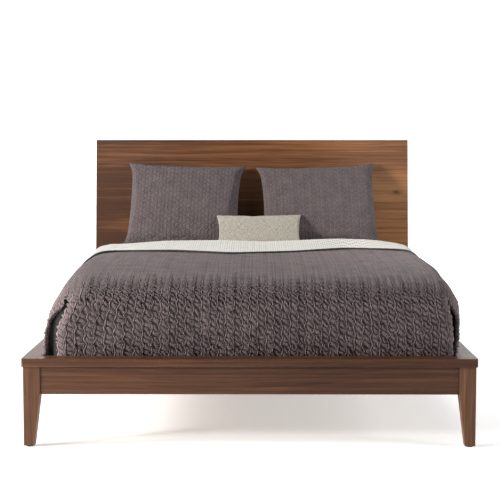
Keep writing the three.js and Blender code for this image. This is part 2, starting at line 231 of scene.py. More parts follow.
class Shader:
    """Small helper round one material's node tree."""

    def __init__(self, name, roughness=0.6, sheen=0.0, specular=0.5):
        self.material = bpy.data.materials.new(name)
        self.material.use_nodes = True
        self.tree = self.material.node_tree
        self.bsdf = self.tree.nodes["Principled BSDF"]
        self.bsdf.inputs["Roughness"].default_value = roughness
        self.bsdf.inputs["Sheen Weight"].default_value = sheen
        self.bsdf.inputs["Specular IOR Level"].default_value = specular

    def put(self, value, socket):
        """Links an output to a socket, or sets the socket to a number, vector or colour."""
        if isinstance(value, Value):
            self.tree.links.new(value.socket, socket)
        else:
            socket.default_value = value

    def made(self, kind, inputs=(), output=0, **values):
        """Adds a node, fills its inputs by name or number, and hands back one output."""
        new = node(self.tree, kind, **values)
        for key, value in dict(inputs).items():
            self.put(value, new.inputs[key])
        return Value(self, new.outputs[output])

    def here(self):
        return self.made("ShaderNodeTexCoord", output="Object")

    def flat(self):
        return self.made("ShaderNodeUVMap", uv_map="flat")

    def math(self, op, *values):
        return self.made("ShaderNodeMath", enumerate(values), operation=op)

    def smooth(self, start, end, value):
        """0 at start, 1 at end, eased; start may lie above end."""
        flip = start > end
        return self.made(
            "ShaderNodeMapRange",
            {"Value": value, "From Min": min(start, end), "From Max": max(start, end),
             "To Min": float(flip), "To Max": float(not flip)},
            "Result", interpolation_type="SMOOTHSTEP",
        )

    def noise(self, vector, scale, detail=3.0, rough=0.5):
        return self.made(
            "ShaderNodeTexNoise",
            {"Vector": vector, "Scale": scale, "Detail": detail, "Roughness": rough}, "Fac",
        )

    def ramp(self, fac, stops, mode="LINEAR"):
        """Stops are (position, colour), where one number stands for a grey."""
        made = self.made("ShaderNodeValToRGB", {"Fac": fac}, "Color")
        band = made.socket.node.color_ramp
        band.interpolation = mode
        while len(band.elements) < len(stops):
            band.elements.new(0.5)
        for e, (position, colour) in zip(band.elements, stops):
            e.position = position
            e.color = (*(colour if isinstance(colour, tuple) else (colour,) * 3), 1)
        return made

    def darken(self, amount, colour, by):
        """Multiplies a colour by another, by the given amount."""
        return self.made(
            "ShaderNodeMix", {0: amount, 6: colour, 7: by}, 2, data_type="RGBA", blend_type="MULTIPLY",
        )

    def scaled(self, vector, scale):
        return self.made("ShaderNodeMapping", {"Vector": vector, "Scale": scale})

    def xyz(self, vector):
        sockets = self.made("ShaderNodeSeparateXYZ", {0: vector}).socket.node.outputs
        return [Value(self, socket) for socket in sockets]

    def combine(self, *parts):
        return self.made("ShaderNodeCombineXYZ", enumerate(parts))

    def bump(self, height, strength=0.5, distance=0.002):
        inputs = {"Strength": strength, "Distance": distance, "Height": height}
        self.put(self.made("ShaderNodeBump", inputs), self.bsdf.inputs["Normal"])

    def colour(self, value):
        self.put(value, self.bsdf.inputs["Base Color"])


# sums by name; all of them but fract are called the same in NumPy
for word, operation in {
    "sin": "SINE", "cos": "COSINE", "exp": "EXPONENT", "abs": "ABSOLUTE", "floor": "FLOOR",
    "rint": "ROUND", "mod": "FLOORED_MODULO", "minimum": "MINIMUM", "maximum": "MAXIMUM",
    "sqrt": "SQRT", "fract": "FRACT",
}.items():
    setattr(Shader, word, lambda self, *values, op=operation: self.math(op, *values))


def srgb(r, g, b):
    out = []
    for c in (r, g, b):
        c /= 255
        out.append(c / 12.92 if c <= 0.04045 else ((c + 0.055) / 1.055) ** 2.4)
    return tuple(out)


def walnut(name, dark, mid, light, along, seed, boards=(), tones=(), knot=None, drift=0.0):
    """Oiled walnut. `along` is the grain's axis. `boards` are the heights of glue lines,
    `tones` each board's lightness, `knot` a dark eye as (along, up), and `drift` how much
    lighter the wood grows along the grain: partly the boards' own tone, partly painted light
    that evens out the key lamp from the left and the right pillow's shadow."""
    roughness = 0.42
    s = Shader(name, roughness, specular=0.35)
    x, y, z = s.xyz(s.here())
    long, up, deep = {"x": (x, z, y), "y": (y, z, x), "z": (z, x, y)}[along]
    shift = sum(s.math("GREATER_THAN", up, height) for height in boards)
    grain = s.combine(long + shift * 7.31 + seed, deep, up + shift * 0.613)

    def figure(scale, detail, rough):
        return s.noise(s.scaled(grain, scale), 1.0, detail, rough)

    phase = up * 40.0 + figure((0.75, 2.0, 3.4), 2.0, 0.45) * 9.0
    if knot:
        dx, dz = (long - knot[0]) * 0.55, up - knot[1]
        eye = 0.010 / (s.sqrt(dx * dx + dz * dz) + 0.006)
        phase = phase + eye * 2.6
    rings = s.ramp(s.fract(phase), [(0.0, 0.30), (0.62, 0.62), (0.88, 0.90), (1.0, 0.30)])
    streak = figure((1.1, 42.0, 120.0), 4.0, 0.62)
    fibre = figure((7.0, 260.0, 620.0), 3.0, 0.6)
    cloud = figure((1.1, 3.0, 5.0), 3.0, 0.5)
    pores = figure((16.0, 500.0, 1100.0), 1.0, 0.5)
    tone = rings * 0.10 + streak * 0.50 + cloud * 0.44 + fibre * 0.20
    # Partly painted light: the wood grows lighter along the grain, most on the lower boards, to even
    # out the key lamp from the left and the right pillow's shadow; the rest is the boards' own tone.
    if drift:
        tone = tone + long * drift * (s.smooth(1.08, 0.93, up) * 0.6 + 0.4)
    if tones:
        top = 1.2
        stops = [(0.0, tones[0])] + [(h / top, t) for h, t in zip(boards, tones[1:])]
        tone = tone + (s.ramp(up / top, stops, "CONSTANT") - 0.5)
    colour = s.ramp(tone, [(0.44, dark), (0.62, mid), (0.80, light)])
    colour = s.darken(0.5, colour, s.ramp(pores, [(0.30, 0.50), (0.44, 1.0)]))
    for height in boards:
        line = s.ramp(s.abs(up - height) * 300.0, [(0.0, 0.45), (0.6, 1.0)])
        colour = s.darken(0.7, colour, line)
    if knot:
        spot = s.ramp(eye, [(0.35, 1.0), (0.85, (0.42, 0.36, 0.32)), (1.0, (0.25, 0.2, 0.17))])
        colour = s.darken(0.9, colour, spot)
    s.colour(colour)
    s.put(streak * 0.22 + (roughness - 0.1), s.bsdf.inputs["Roughness"])
    s.bump(fibre * 0.6 + pores * 0.8, 0.35, 0.0006)
    return s.material


def pale_wood(name):
    s = Shader(name, 0.7)
    streak = s.noise(s.scaled(s.here(), (2.0, 40.0, 40.0)), 1.0, 4.0, 0.6)
    fine = s.noise(s.scaled(s.here(), (12.0, 300.0, 300.0)), 1.0, 2.0, 0.5)
    tone = streak * 0.7 + fine * 0.3
    s.colour(s.ramp(tone, [(0.3, srgb(176, 142, 98)), (0.6, srgb(205, 174, 130))]))
    s.bump(fine, 0.3, 0.0005)
    return s.material


def steel(name):
    s = Shader(name, 0.38)
    s.bsdf.inputs["Metallic"].default_value = 1.0
    fine = s.noise(s.here(), 220.0, 3.0, 0.6)
    s.colour(s.ramp(fine, [(0.3, srgb(120, 122, 124)), (0.7, srgb(168, 170, 172))]))
    s.put(fine * 0.25 + 0.26, s.bsdf.inputs["Roughness"])
    return s.material


def nylon(name):
    s = Shader(name, 0.55)
    fine = s.noise(s.here(), 900.0, 2.0, 0.5)
    s.colour(s.ramp(fine, [(0.3, srgb(24, 22, 21)), (0.7, srgb(40, 37, 35))]))
    s.bump(fine, 0.3, 0.0003)
    return s.material


def weave_height(s, flat, pitch_mm, irregular=0.25):
    """Plain weave, from the flat cloth's coordinates in metres."""
    u, v, _ = s.xyz(flat)
    wobble = s.noise(flat, 160.0, 2.0, 0.5)
    k = math.pi * 1000 / pitch_mm
    wu = s.sin(u * k + wobble * (irregular * 6))
    wv = s.sin(v * k + wobble * (irregular * 5))
    return wu * wv * 0.5 + 0.5


def quilt_cloth(name, dark, light, depth, ridges=1.0, taut=None, finer=1.0, chevron=0.0):
    """Matelasse cloth. Between the two distances in `taut` it passes from stretched to
    loose; `finer` shrinks the pattern and `chevron` mirrors every second column."""
    s = Shader(name, 0.85, sheen=0.05, specular=0.25)
    s.bsdf.inputs["Sheen Roughness"].default_value = 0.45
    flat = s.flat()
    a, b, _ = s.xyz(s.scaled(flat, (finer, finer, 1.0)))
    pattern, cords = relief(s, a, b, ridges, chevron=chevron)
    mottle = s.noise(flat, 14.0, 3.0, 0.6)
    fine = s.noise(flat, 700.0, 3.0, 0.6)
    pebbles = s.noise(flat, 170.0, 2.0, 0.5)
    if taut:
        loose = s.smooth(*taut, s.xyz(flat)[1]) * 0.62 + 0.38
        pattern, cords = pattern * loose, cords * loose
    # Painted shade and painted highlight: the tone darkens in the stitched creases, where the pattern
    # is low, and is lighter on the corded ridges. The mottle, fine grain and pebbles are the cloth's
    # own tone.
    tone = s.smooth(0.0, 0.30, pattern) * 0.14 + mottle * 0.22 + fine * 0.20
    tone = tone + pebbles * 0.16 + cords * 0.30
    s.colour(s.ramp(tone, [(0.24, dark), (0.76, light)]))
    cloth = weave_height(s, flat, 1.6) * 0.05 + fine * 0.08 + pebbles * 0.28
    s.bump(pattern + cloth, 1.0, depth)
    return s.material


def reverse_cloth(name):
    """White reverse with rows of small dark stitches laid out in chevrons."""
    s = Shader(name, 0.9, sheen=0.2)
    flat = s.flat()
    u, v, _ = s.xyz(flat)
    row = v / 0.036 + s.math("PINGPONG", u, 0.031) * 24.0
    du = (s.fract(u / 0.0103) - 0.5) * 2.4
    dv = (s.fract(row) - 0.5) * 3.6
    far = du * du + dv * dv
    dot = s.ramp(far, [(0.24, srgb(74, 68, 64)), (0.52, srgb(194, 191, 183))])
    fine = s.noise(flat, 500.0, 3.0, 0.6)
    s.colour(s.darken(0.25, dot, s.ramp(fine, [(0.3, 0.55), (0.7, 1.0)])))
    s.bump(far * 0.5 + fine, 0.4, 0.0012)
    return s.material


def linen(name, dark, light):
    s = Shader(name, 0.92, sheen=0.2)
    flat = s.flat()
    slub_u = s.noise(s.scaled(flat, (50.0, 420.0, 1.0)), 1.0, 3.0, 0.6)
    slub_v = s.noise(s.scaled(flat, (420.0, 50.0, 1.0)), 1.0, 3.0, 0.6)
    weave = weave_height(s, flat, 1.3, 0.4)
    tone = slub_u * 0.45 + slub_v * 0.45 + weave * 0.2
    s.colour(s.ramp(tone, [(0.40, dark), (0.66, light)]))
    s.bump(tone + weave * 0.7, 0.8, 0.0016)
    return s.material


def plain_cloth(name, dark, light):
    s = Shader(name, 0.92, sheen=0.25)
    fine = s.noise(s.here(), 420.0, 3.0, 0.6)
    cloud = s.noise(s.here(), 9.0, 3.0, 0.6)
    s.colour(s.ramp(fine * 0.6 + cloud * 0.4, [(0.3, dark), (0.7, light)]))
    s.bump(fine, 0.5, 0.0008)
    return s.material


SEAMS = (0.340, 0.495, 0.649, 0.807, 0.960, 1.045)   # the headboard's glue lines, above the floor
BOARD_TONES = (0.43, 0.45, 0.43, 0.44, 0.500, 0.425, 0.425)   # from the lowest board up
HEAD_WOOD = walnut(
    "headboard_walnut", srgb(66, 37, 20), srgb(112, 71, 41), srgb(150, 104, 64), "x", 3.0,
    SEAMS, BOARD_TONES, knot=(0.775, 0.862), drift=0.21,
)
BROWNS = (srgb(54, 30, 19), srgb(90, 57, 39), srgb(120, 81, 57))
LEG_BROWNS = (srgb(64, 38, 25), srgb(104, 69, 48), srgb(136, 96, 70))
FRAME_WOOD = {
    along: walnut(f"frame_walnut_{along}", *browns, along, 11.0)
    for along, browns in (("x", BROWNS), ("y", BROWNS), ("z", LEG_BROWNS))
}
SUPPORT = pale_wood("support_wood")
METAL = steel("hardware_steel")
PLASTIC = nylon("glide_plastic")
QUILT = quilt_cloth(
    "quilt_fabric", srgb(58, 48, 49), srgb(172, 154, 154), 0.0065, taut=(1.05, 1.64),
)
SHAM = quilt_cloth(
    "sham_fabric", srgb(56, 47, 48), srgb(136, 122, 123), 0.0044, 0.6, finer=CASE_FINER, chevron=1.0,
)
REVERSE = reverse_cloth("quilt_reverse")
BINDING = plain_cloth("quilt_binding", srgb(30, 28, 30), srgb(54, 50, 52))
LINEN = linen("lumbar_linen", srgb(100, 94, 82), srgb(190, 184, 169))
SHEET = plain_cloth("mattress_sheet", srgb(214, 210, 204), srgb(240, 237, 232))
# Near-black border: partly a dark border fabric, partly painted shade for the deep slits at the
# quilt's foot corners, where it shows.
BORDER = plain_cloth("mattress_border", srgb(14, 13, 14), srgb(26, 24, 25))

GRAIN = {
    "headboard_panel": HEAD_WOOD,
    "foot_apron": FRAME_WOOD["x"],
    "ledge_foot": FRAME_WOOD["x"],
}
for side in ("left", "right"):
    for board, along in (("ledge", "y"), ("side_apron", "y"), ("front_leg", "z"), ("rear_post", "z")):
        GRAIN[f"{board}_{side}"] = FRAME_WOOD[along]
SOFT = {"mattress", "quilt", "sham_left", "sham_right", "lumbar_pillow"}
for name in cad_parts:
    if name in SOFT:
        continue
    if name in GRAIN:
        look = GRAIN[name]
    elif name.startswith("glide"):
        look = PLASTIC
    elif name.startswith(("bed_bolt", "head_bracket")):
        look = METAL
    else:
        look = SUPPORT
    for slot in bpy.data.objects[name].material_slots:
        slot.material = look


# ---------------------------------------------------------- the coverlet
RIBS_LEFT, RIBS_RIGHT = 32, 34   # the side hems, in ribs from the middle
FLAP_LEFT, FLAP_RIGHT = 23, 25   # the foot drop's edges, in ribs from the middle
FLAP_EDGE_LEFT, FLAP_EDGE_RIGHT = 0.724, 0.755   # how far from the middle those edges hang
ROLL_LEFT, ROLL_RIGHT = 0.042, 0.018   # radius at which they curl back
FINE_STEPS = 8           # columns of the mesh in one rib; half as many far from the foot
FOOT_FACE = 0.0735       # outer face of the foot drop, from the foot's front
FOLD_DEEP, FOLD_TALL = 0.195, 0.072   # the soft quarter-ellipse where the top turns down
FOLD_TOP = 0.5775        # height of the made-up bed just behind that fold
HEM = 0.3075             # height of the hems, just clear of the ledge
SLIT = 0.184             # how far the side flaps run into the fold
THICK = 0.0085           # the cloth and its filling, between two puffs
DEPTH = 0.0092           # how deep the quilting is worked
SINK = 0.0015            # from the smooth face down to the creases
TURNED_BACK = 0.35       # cloth in the band that is turned back at the head
CORNER_CUT = 0.31        # width of the cloth that is missing at each foot corner
CROWN, CROWN_HALF = 0.0035, 0.75   # how much the top is domed, over which half width
PROFILE_STEPS = 260      # points in half a cross-section


def top_height(y):
    """The made-up bed falls away gently over its last half metre."""
    return np.interp(y, [0.07, 0.20, 0.35, 0.50, 0.70, 0.95, 1.5, 1.75],
                     [0.5745, 0.5775, 0.5850, 0.5915, 0.5975, 0.6005, 0.6010, 0.6005])


def side_profile(y, right):
    """Cross-section from the middle to one hem: points (out, up), evenly spaced."""
    zt = float(top_height(y))
    wave = 0.004 * math.sin(7.1 * y + 0.6) + 0.0022 * math.sin(15.3 * y + 2.0)
    # a and b: how wide and tall the rounded long edge is; power: how full it is
    if right:
        a = np.interp(y, [0.1, 0.3, 0.73, 1.3, 1.7], [0.072, 0.064, 0.040, 0.036, 0.044])
        b = np.interp(y, [0.1, 0.3, 0.73, 1.3, 1.7], [0.098, 0.084, 0.046, 0.040, 0.052])
        power = 1.75
        flank = 0.5 * wave + np.interp(
            y, [0.08, 0.2, 0.5, 0.73, 1.3, 1.7], [0.776, 0.793, 0.802, 0.804, 0.801, 0.788],
        )
        low = [(flank - 0.005 + wave, 0.455), (flank - 0.001, 0.40), (flank - 0.006, 0.362),
               (0.7725, 0.338), (0.7665, 0.326), (0.7655, HEM)]
    else:
        a = np.interp(y, [0.1, 0.3, 0.53, 0.9, 1.2, 1.7], [0.146, 0.132, 0.104, 0.072, 0.062, 0.060])
        b = np.interp(y, [0.1, 0.3, 0.53, 0.9, 1.2, 1.7], [0.106, 0.094, 0.076, 0.054, 0.050, 0.052])
        power = 1.65
        flank = np.interp(y, [0.08, 0.3, 0.6, 0.9, 1.7], [0.752, 0.760, 0.770, 0.774, 0.766])
        low = [(flank + 0.006 + 0.3 * wave, 0.44), (0.7655 + 0.3 * wave, 0.39),
               (0.7665, 0.35), (0.7655, HEM)]
    t = np.linspace(0, math.pi / 2, 26)
    arc_x = flank - a + a * np.sin(t) ** (2 / power)
    arc_z = zt - b + b * np.cos(t) ** (2 / power)
    inner = np.linspace(0, flank - a, 14)[:-1]
    pts = [(x, zt + c) for x, c in zip(inner, CROWN * (1 - (inner / CROWN_HALF) ** 2))]
    pts += [(x, z + CROWN * (1 - min(1, (x / CROWN_HALF)) ** 2)) for x, z in zip(arc_x, arc_z)]
    pts = np.array(pts + low)
    step = np.r_[0, np.cumsum(np.hypot(*np.diff(pts, axis=0).T))]
    even = np.linspace(0, step[-1], PROFILE_STEPS)
    return [evened(np.interp(even, step, line), 10) for line in pts.T]


def cover_point(a, y):
    """Surface points for cloth coordinates a (across) at distances y from the foot."""
    key = np.round(y, 4)
    X, Z = np.zeros(a.shape), np.zeros(a.shape)
    ids = np.arange(PROFILE_STEPS)
    for yy in np.unique(key):
        row = key == yy
        sides = []
        for sign, ribs in ((-1, RIBS_LEFT), (1, RIBS_RIGHT)):
            out, up = side_profile(yy, sign > 0)
            share = np.clip(sign * a[row] / (ribs * RIB), 0, 1) * (PROFILE_STEPS - 1)
            sides.append((sign * np.interp(share, ids, out), np.interp(share, ids, up)))
        right = a[row] > 0
        X[row] = np.where(right, sides[1][0], sides[0][0])
        Z[row] = np.where(right, sides[1][1], sides[0][1])
    return X, Z


FOLD_TURNS = np.linspace(0, math.pi / 2, 200)
FOLD_RUN = np.r_[0, np.cumsum(np.hypot(
    np.diff(FOLD_DEEP * np.sin(FOLD_TURNS)), np.diff(FOLD_TALL * np.cos(FOLD_TURNS))
))]
# cloth lengths from the crest: to the fold, round it, and down to the hem
B_FLAT = CREST - (FOOT_FACE + FOLD_DEEP)
B_ARC = FOLD_RUN[-1]
DROP = FOLD_TOP - FOLD_TALL - HEM
B_END = B_FLAT + B_ARC + DROP


def foot_path(b):
    """(distance from the foot, drop below the top) for cloth coordinate b."""
    turn = np.interp(b - B_FLAT, FOLD_RUN, FOLD_TURNS)
    y = np.where(b < B_FLAT, CREST - b, FOOT_FACE + FOLD_DEEP * (1 - np.sin(turn)))
    drop = FOLD_TALL * (1 - np.cos(turn)) + np.clip(b - B_FLAT - B_ARC, 0, None)
    return y, drop


def cover_surface(a, b, hanging):
    """The quilt's smooth outer face for grids of cloth coordinates; the foot drop is `hanging`."""
    y, drop = foot_path(b)
    X, Z = cover_point(a, np.maximum(y, FOOT_FACE))
    full = FOLD_TALL + DROP
    # the foot flap hangs straight and flares a little at its edges
    fall = smooth(0.0, 0.16, drop) * hanging
    radius = np.where(a < 0, ROLL_LEFT, ROLL_RIGHT)
    half_cloth = np.where(a < 0, FLAP_LEFT, FLAP_RIGHT) * RIB
    half_hung = np.where(a < 0, FLAP_EDGE_LEFT, FLAP_EDGE_RIGHT)
    roll = np.clip(math.pi / 2 - (half_cloth - np.abs(a)) / radius, 0, math.pi / 2)
    flat_cloth = half_cloth - radius * math.pi / 2
    flat_part = np.minimum(np.abs(a), flat_cloth) * (half_hung - radius) / flat_cloth
    wide = np.sign(a) * (flat_part + radius * np.sin(roll))
    mid = smooth(0.25, FLAP_LEFT * RIB, np.abs(a))
    X = X + fall * mid * (wide - X)
    Z = Z - drop / full * (Z - HEM)
    # the hanging foot billows slightly between the ledge and the top edge
    billow = np.sin(np.pi * np.clip((drop - 0.02) / (full - 0.02), 0, 1)) * hanging
    y = y - 0.0055 * billow * (1 + 0.7 * np.sin(9.0 * a + 0.8) * np.cos(4.0 * a))
    # its two edges roll back towards the mattress
    y = y + hanging * smooth(0.0, 0.06, drop) * radius * (1 - np.cos(roll))
    # soft broad unevenness on top
    upper = 1 - smooth(0.0, 0.03, drop)
    top = upper * (1 - smooth(0.55, 0.70, np.abs(X)))
    Z = Z + top * 0.0030 * noise2(a + 3, b + 1, 0.30, 31) + top * 0.0012 * noise2(a, b, 0.11, 32)
    # lean in the side drops, like cloth caught by the hand that tucked it
    low = smooth(0.53, 0.47, Z) * smooth(0.31, 0.36, Z) * upper
    X = X + np.sign(a) * low * 0.0028 * noise2(y, Z * 0.35, 0.16, 33)
    return np.stack([X, FOOT + y, Z], 2)


def spaced(lo, hi, step):
    return np.linspace(lo, hi, max(2, int(round((hi - lo) / step)) + 1))


def changes(keep, axis):
    """Grid lines where the kept cells start or end."""
    cells = np.moveaxis(keep, axis, 0)
    return {int(i) + 1 for i in np.where(np.any(cells[1:] != cells[:-1], axis=1))[0]}


def shell(name, outer, normals, keep, every, thick, body, materials, uv, sparse=0):
    """Closed cloth from a fine outer grid, a coarse under side in the second material
    and a rim between them. The first `sparse` rows use every second column."""
    rows, cols = outer.shape[:2]
    index = np.arange(rows * cols).reshape(rows, cols)
    faces = []
    for i in range(sparse):
        for j in range(0, cols - 1, 2):
            joined = (index[i + 1, j + 1],) if i == sparse - 1 else ()
            faces.append((index[i, j], index[i, j + 2], index[i + 1, j + 2], *joined, index[i + 1, j]))
    fine = keep.copy()
    fine[:sparse] = False
    faces += [tuple(q) for q in grid_faces(rows, cols, fine)]
    verts = list(outer.reshape(-1, 3))
    n = len(verts)
    rr, cc = (
        sorted({*range(0, size - 1, step), size - 1} | changes(keep, axis))
        for axis, (size, step) in enumerate(zip((rows, cols), every))
    )
    low = {}

    def under(i, j):
        if (i, j) not in low:
            low[i, j] = n + len(low)
            verts.append(outer[i, j] - normals[i, j] * thick[i, j])
        return low[i, j]

    kept = {}
    slot = [0] * len(faces)
    for x in range(len(rr) - 1):
        for z in range(len(cc) - 1):
            i0, i1, j0, j1 = rr[x], rr[x + 1], cc[z], cc[z + 1]
            kept[x, z] = bool(keep[i0, j0])
            if kept[x, z]:
                faces.append((under(i0, j0), under(i1, j0), under(i1, j1), under(i0, j1)))
                slot.append(1)
    for (x, z), on in kept.items():
        if not on:
            continue
        i0, i1, j0, j1 = rr[x], rr[x + 1], cc[z], cc[z + 1]
        across = 2 if i0 < sparse else 1
        sides = (
            ((x - 1, z), [(i0, j) for j in range(j0, j1 + 1, across)]),
            ((x + 1, z), [(i1, j) for j in range(j1, j0 - 1, -1)]),
            ((x, z - 1), [(i, j0) for i in range(i1, i0 - 1, -1)]),
            ((x, z + 1), [(i, j1) for i in range(i0, i1 + 1)]),
        )
        for other, edge in sides:
            if kept.get(other):
                continue
            top = [int(index[p]) for p in edge]
            mid = (len(top) - 1) / 2
            a, b = under(*edge[0]), under(*edge[-1])
            for k in range(len(top) - 1):
                faces.append((top[k + 1], top[k], a if k < mid else b))
                if k < mid <= k + 1:
                    faces.append((top[k + 1], a, b))
    slot += [0] * (len(faces) - len(slot))
    verts = np.array(verts)
    used = np.unique(np.concatenate([np.array(f) for f in faces]))
    back = np.full(len(verts), -1)
    back[used] = np.arange(len(used))
    flat = np.zeros((len(verts), 2))
    flat[:n] = uv.reshape(-1, 2)
    for (i, j), k in low.items():
        flat[k] = uv[i, j]
    faces = [tuple(back[i] for i in f) for f in faces]
    obj = new_object(name, verts[used], faces, body, materials, flat[used])
    obj.data.polygons.foreach_set("material_index", np.array(slot, dtype=np.int32))
    return obj


columns = np.arange(-RIBS_LEFT * FINE_STEPS, RIBS_RIGHT * FINE_STEPS + 1) * (RIB / FINE_STEPS)
B_START = 0.022          # the cover starts here, hidden by the turned-back band
B_SEEN = B_FLAT - 0.24   # the rows lie closer from here on
back_rows = spaced(B_START, B_SEEN, 0.0100)
rows = np.r_[
    back_rows[:-1],
    spaced(B_SEEN, B_FLAT, 0.0068)[:-1],
    spaced(B_FLAT, B_FLAT + SLIT, 0.0045)[:-1],
    spaced(B_FLAT + SLIT, B_END, 0.0043),
]
A, B = np.meshgrid(columns, rows)
foot_drop, side_drop = cover_surface(A, B, 1.0), cover_surface(A, B, 0.0)
flap = ((A >= -FLAP_LEFT * RIB - 1e-6) & (A <= FLAP_RIGHT * RIB + 1e-6))[..., None]
base = np.where(flap, foot_drop, side_drop)
normal = np.where(flap, grid_normals(foot_drop), grid_normals(side_drop))
if normal[len(rows) // 3, len(columns) // 2, 2] < 0:
    normal = -normal
# the quilting is pulled flatter towards the head
loose = smooth(B_FLAT - 0.36, B_FLAT + 0.08, B)
height = relief(np, A, B, ridges=0.35 + 0.65 * loose, blunt=1.4)[0] * (0.20 + 0.80 * loose)
edge = np.minimum(A + RIBS_LEFT * RIB, RIBS_RIGHT * RIB - A)
fade = smooth(0.0, 0.03, edge) * smooth(B_END, B_END - 0.02, B)
cloth = base + normal * (height * fade * DEPTH - SINK)[..., None]
a_mid = 0.5 * (A[1:, 1:] + A[:-1, :-1])
b_mid = 0.5 * (B[1:, 1:] + B[:-1, :-1])
in_flap = (a_mid > -FLAP_LEFT * RIB) & (a_mid < FLAP_RIGHT * RIB)
keep = in_flap | (b_mid < B_FLAT + SLIT)
thick = THICK + height * fade * DEPTH * 0.8
quilt = shell(
    "quilt_cover", cloth, normal, keep, (4, 8), thick, "quilt",
    [QUILT, REVERSE], np.stack([A, B], 2), sparse=len(back_rows) - 1,
)
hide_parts("quilt")


# ----------------------------------------------- the turned-back white band
CREST_R = 0.019          # how far the band's rounded back edge reaches out
FLAT_STEPS, TURN_STEPS = 46, 14   # rows of the mesh along the band, and round that edge
BAND_LIFT = 0.0085       # the band's front edge, above the quilt's smooth face
SIDE_LIFT = 0.017        # its back end, where it hangs down the sides
BAND_THICK = 0.0068


def band_front(a):
    """How far from the foot the band's scalloped edge lies, across the cloth."""
    return np.interp(
        a,
        [-0.97, -0.86, -0.80, -0.76, -0.72, -0.65, -0.34, -0.08, 0.20, 0.43, 0.70, 0.80, 0.88, 1.03],
        [0.78, 0.78, 0.84, 0.99, 1.17, 1.43, 1.45, 1.29, 1.39, 1.59, 1.54, 1.24, 1.12, 1.10],
    )


def band_crest(x):
    """Height of the band's back edge, across the bed."""
    return np.interp(
        x,
        [-0.784, -0.736, -0.614, -0.432, -0.16, 0.073, 0.239, 0.37, 0.456, 0.56, 0.648, 0.729, 0.788],
        [0.606, 0.612, 0.620, 0.634, 0.637, 0.630, 0.637, 0.643, 0.644, 0.641, 0.634, 0.622, 0.606],
    )


band_a = np.array([k * RIB / 4 for k in range(-RIBS_LEFT * 4, RIBS_RIGHT * 4 + 1)])
AA, CC = np.meshgrid(band_a, np.linspace(0, 1, FLAT_STEPS))
y_front = np.broadcast_to(evened(band_front(band_a), 30), AA.shape)
scallop = 0.006 * np.abs(np.sin(np.pi * AA / RIB)) - 0.003
y_band = y_front + (CREST - CREST_R - y_front) * CC - scallop * (1 - CC) ** 6
BX, BZ = cover_point(AA, y_band)
band = np.stack([BX, FOOT + y_band, BZ], 2)
# normals that point up on top and outwards on the sides
out = -grid_normals(band)
out = np.where((out[..., 2:3] < 0) & (np.abs(out[..., 2:3]) > 0.3), -out, out)
inwards = (out[..., 0] * np.sign(BX) < 0) & (np.abs(out[..., 0]) > 0.7)
out = np.where(inwards[..., None], -out, out)
on_top = smooth(0.30, 0.85, out[..., 2])
lift_end = on_top * np.maximum(band_crest(BX) - BZ, 0.016) + (1 - on_top) * SIDE_LIFT
lift = BAND_LIFT + (lift_end - BAND_LIFT) * smooth(0.0, 1.0, CC ** 1.15)
lift = lift + 0.0022 * noise2(AA, y_band, 0.085, 41) * np.sin(np.pi * CC)
puff = 0.5 + 0.5 * np.cos(2 * np.pi * AA / RIB)
lift = lift + 0.0016 * puff * smooth(0, 0.1, CC) * smooth(1.0, 0.93, CC)
band = band + out * lift[..., None]
turned = []
for k in range(1, TURN_STEPS + 1):
    t = math.pi * k / TURN_STEPS
    down = (lift_end[-1] - 0.002) * 0.5 * (1 - math.cos(t))
    turned.append(band[-1] + np.array([0, CREST_R * math.sin(t), 0]) - out[-1] * down[:, None])
band = np.concatenate([band, np.array(turned)], 0)
band_n = -grid_normals(band)
middle = FLAT_STEPS // 2, len(band_a) // 2
if band_n[middle].dot(out[middle]) < 0:
    band_n = -band_n
cloth_c = np.concatenate([y_band, y_band[-1:] + np.arange(1, TURN_STEPS + 1)[:, None] * 0.004], 0)
band_obj = shell(
    "quilt_band", band, band_n, np.ones((band.shape[0] - 1, band.shape[1] - 1), bool),
    (5, 4), np.full(cloth_c.shape, BAND_THICK), "quilt", [REVERSE, QUILT],
    np.stack([np.broadcast_to(band_a, cloth_c.shape), cloth_c], 2),
)

# dark scalloped binding along the band's edge
rim = band[0] - band_n[0] * 0.0035
rim = rim + np.array([0, -0.0015, 0])
fine = np.linspace(0, len(rim) - 1, len(rim) * 2)
rim = np.stack([np.interp(fine, np.arange(len(rim)), rim[:, k]) for k in range(3)], 1)
binding = tube("quilt_binding", rim, 0.0046, "quilt", [BINDING], sides=7)

cloth_wide, cloth_long = (RIBS_LEFT + RIBS_RIGHT) * RIB, B_END + TURNED_BACK
flat_area = cloth_wide * cloth_long - 2 * CORNER_CUT * (B_END - B_FLAT - SLIT)


# ------------------------------------------------------------ the mattress
CORNER_ROUND = 0.060


def rounded_ring(half_x, y0, y1, side, end, foot, z, per_side=30, per_corner=10):
    """Points round a rectangle with rounded corners, inset by side, end and foot."""
    hx, a, b = half_x - side, y0 + foot, y1 - end
    r = max(CORNER_ROUND - min(side, end), 0.004)
    pts = []
    corners = ((hx - r, a + r, -90), (hx - r, b - r, 0), (-hx + r, b - r, 90), (-hx + r, a + r, 180))
    for k, (cx, cy, start) in enumerate(corners):
        for i in range(per_corner + 1):
            t = math.radians(start + 90 * i / per_corner)
            pts.append((cx + r * math.cos(t), cy + r * math.sin(t), z))
        nx, ny, nstart = corners[(k + 1) % 4]
        t = math.radians(nstart)
        end_point = np.array((nx + r * math.cos(t), ny + r * math.sin(t), z))
        begin = np.array(pts[-1])
        for i in range(1, per_side):
            pts.append(tuple(begin + (end_point - begin) * i / per_side))
    return pts


